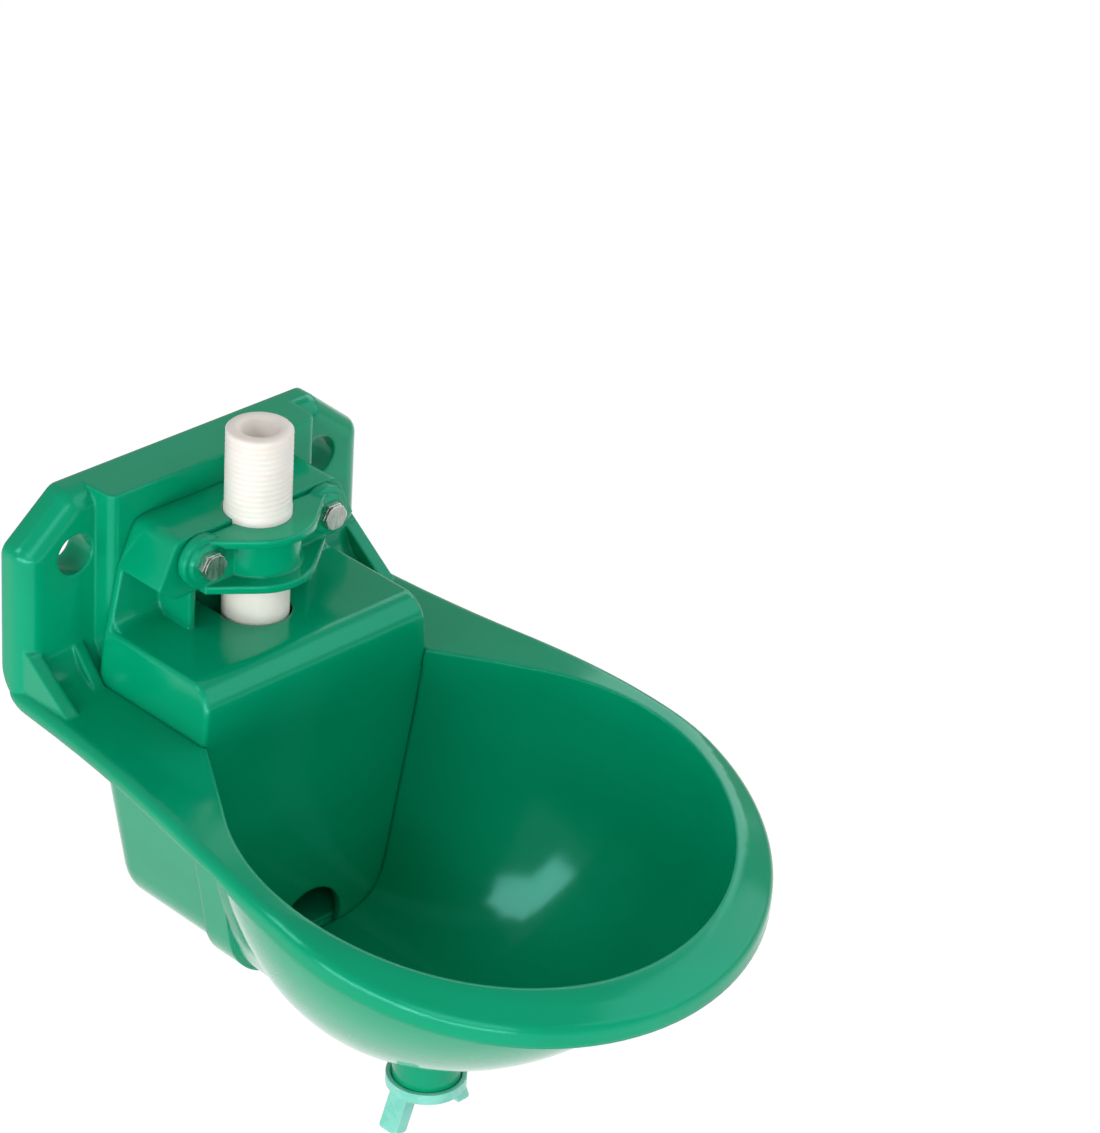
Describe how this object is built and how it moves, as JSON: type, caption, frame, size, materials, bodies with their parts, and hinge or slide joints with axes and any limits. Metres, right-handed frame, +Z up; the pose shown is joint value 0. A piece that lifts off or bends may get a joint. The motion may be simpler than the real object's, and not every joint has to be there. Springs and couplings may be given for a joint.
{
  "type": "livestock drinking bowl",
  "caption": "Wall-hung float drinking bowl for livestock, with an oval dish, covered float chamber, clamped inlet pipe and screw-in drain plug.",
  "frame": {"origin": "midway between the two wall holes, on the wall plane", "axes": "+Y into the wall, -Y out over the bowl, +Z up, +X to the right seen from the wall"},
  "size_m": [0.1714, 0.2293, 0.2095],
  "materials": {
    "green_plastic": "glossy",
    "white_plastic": "satin",
    "mint_plastic": "glossy",
    "float_plastic": "matte",
    "plated_steel": "satin",
    "brass": "satin",
    "black_rubber": "matte"
  },
  "bodies": {
    "bowl": {"bowl_body": "green_plastic", "float_cover": "green_plastic", "pipe_clamp": "green_plastic", "clamp_bolts": "plated_steel", "clamp_washers": "plated_steel", "clamp_nuts": "plated_steel"},
    "riser": {"inlet_pipe": "white_plastic", "valve_body": "white_plastic", "seat_washer": "black_rubber", "valve_seat": "brass", "lever_pin": "plated_steel", "pin_clip": "plated_steel"},
    "plunger": {"valve_plunger": "white_plastic", "plunger_seal": "black_rubber"},
    "float": {"float_lever": "white_plastic", "float_shell": "float_plastic", "float_lid": "float_plastic", "float_screw": "plated_steel"},
    "drain_washer": {"drain_seal": "black_rubber"},
    "plug": {"drain_plug": "mint_plastic"}
  },
  "joints": [
    {"name": "pipe_height", "type": "slide", "parent": "bowl", "child": "riser", "axis": [0, 0, 1], "range_m": [-0.004, 0.008]},
    {"name": "float_hinge", "type": "hinge", "parent": "riser", "child": "float", "pos_m": [-0.017, -0.0381, -0.0718], "axis": [0, -1, 0], "range_deg": [0, 6.74]},
    {"name": "plunger_slide", "type": "slide", "parent": "riser", "child": "plunger", "axis": [0, 0, 1], "range_m": [0, 0.002]},
    {"name": "drain_advance", "type": "slide", "parent": "bowl", "child": "drain_washer", "axis": [0, 0, -1], "range_m": [0, 0.004]},
    {"name": "plug_turn", "type": "hinge", "parent": "drain_washer", "child": "plug", "pos_m": [0, -0.1234, -0.15], "axis": [0, 0, -1], "range_deg": [0, 720]}
  ],
  "couplings": [
    {"joint": "float_hinge", "follows": "plunger_slide", "rad_per_m": 58.818},
    {"joint": "plug_turn", "follows": "drain_advance", "rad_per_m": 3141.6}
  ]
}
